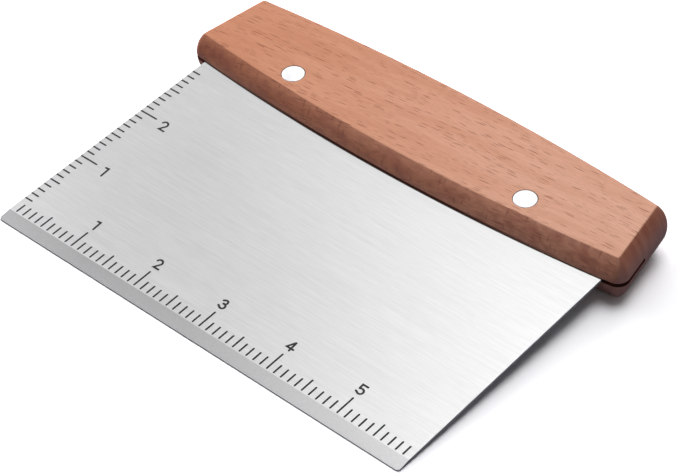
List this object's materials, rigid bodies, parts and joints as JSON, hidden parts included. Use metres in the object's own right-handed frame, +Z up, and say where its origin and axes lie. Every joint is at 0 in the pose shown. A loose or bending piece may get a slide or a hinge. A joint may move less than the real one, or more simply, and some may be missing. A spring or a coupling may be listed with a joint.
{
  "type": "bench scraper",
  "caption": "Bench scraper with a brushed steel blade, riveted into a slotted beech handle with flat faces, bullnosed sides and bowed long edges.",
  "frame": {"origin": "middle of the bottom of the tool's box, on the surface that it lies on", "axes": "+X along the blade's working edge and the handle, +Y from the working edge towards the handle, +Z up from the surface that the tool lies on"},
  "size_m": [0.1646, 0.1208, 0.0185],
  "materials": {
    "blade_steel": "brushed along the blade's width, ground along the working edge",
    "beech": "sanded and oiled, with short dark pores along the handle",
    "rivet_metal": "bright polished",
    "ruler_marks": "dark matt etching in the steel"
  },
  "bodies": {
    "root": {"blade": "blade_steel", "handle": "beech", "rivet_left_barrel": "rivet_metal", "rivet_left_pin": "rivet_metal", "rivet_right_barrel": "rivet_metal", "rivet_right_pin": "rivet_metal"}
  },
  "joints": []
}
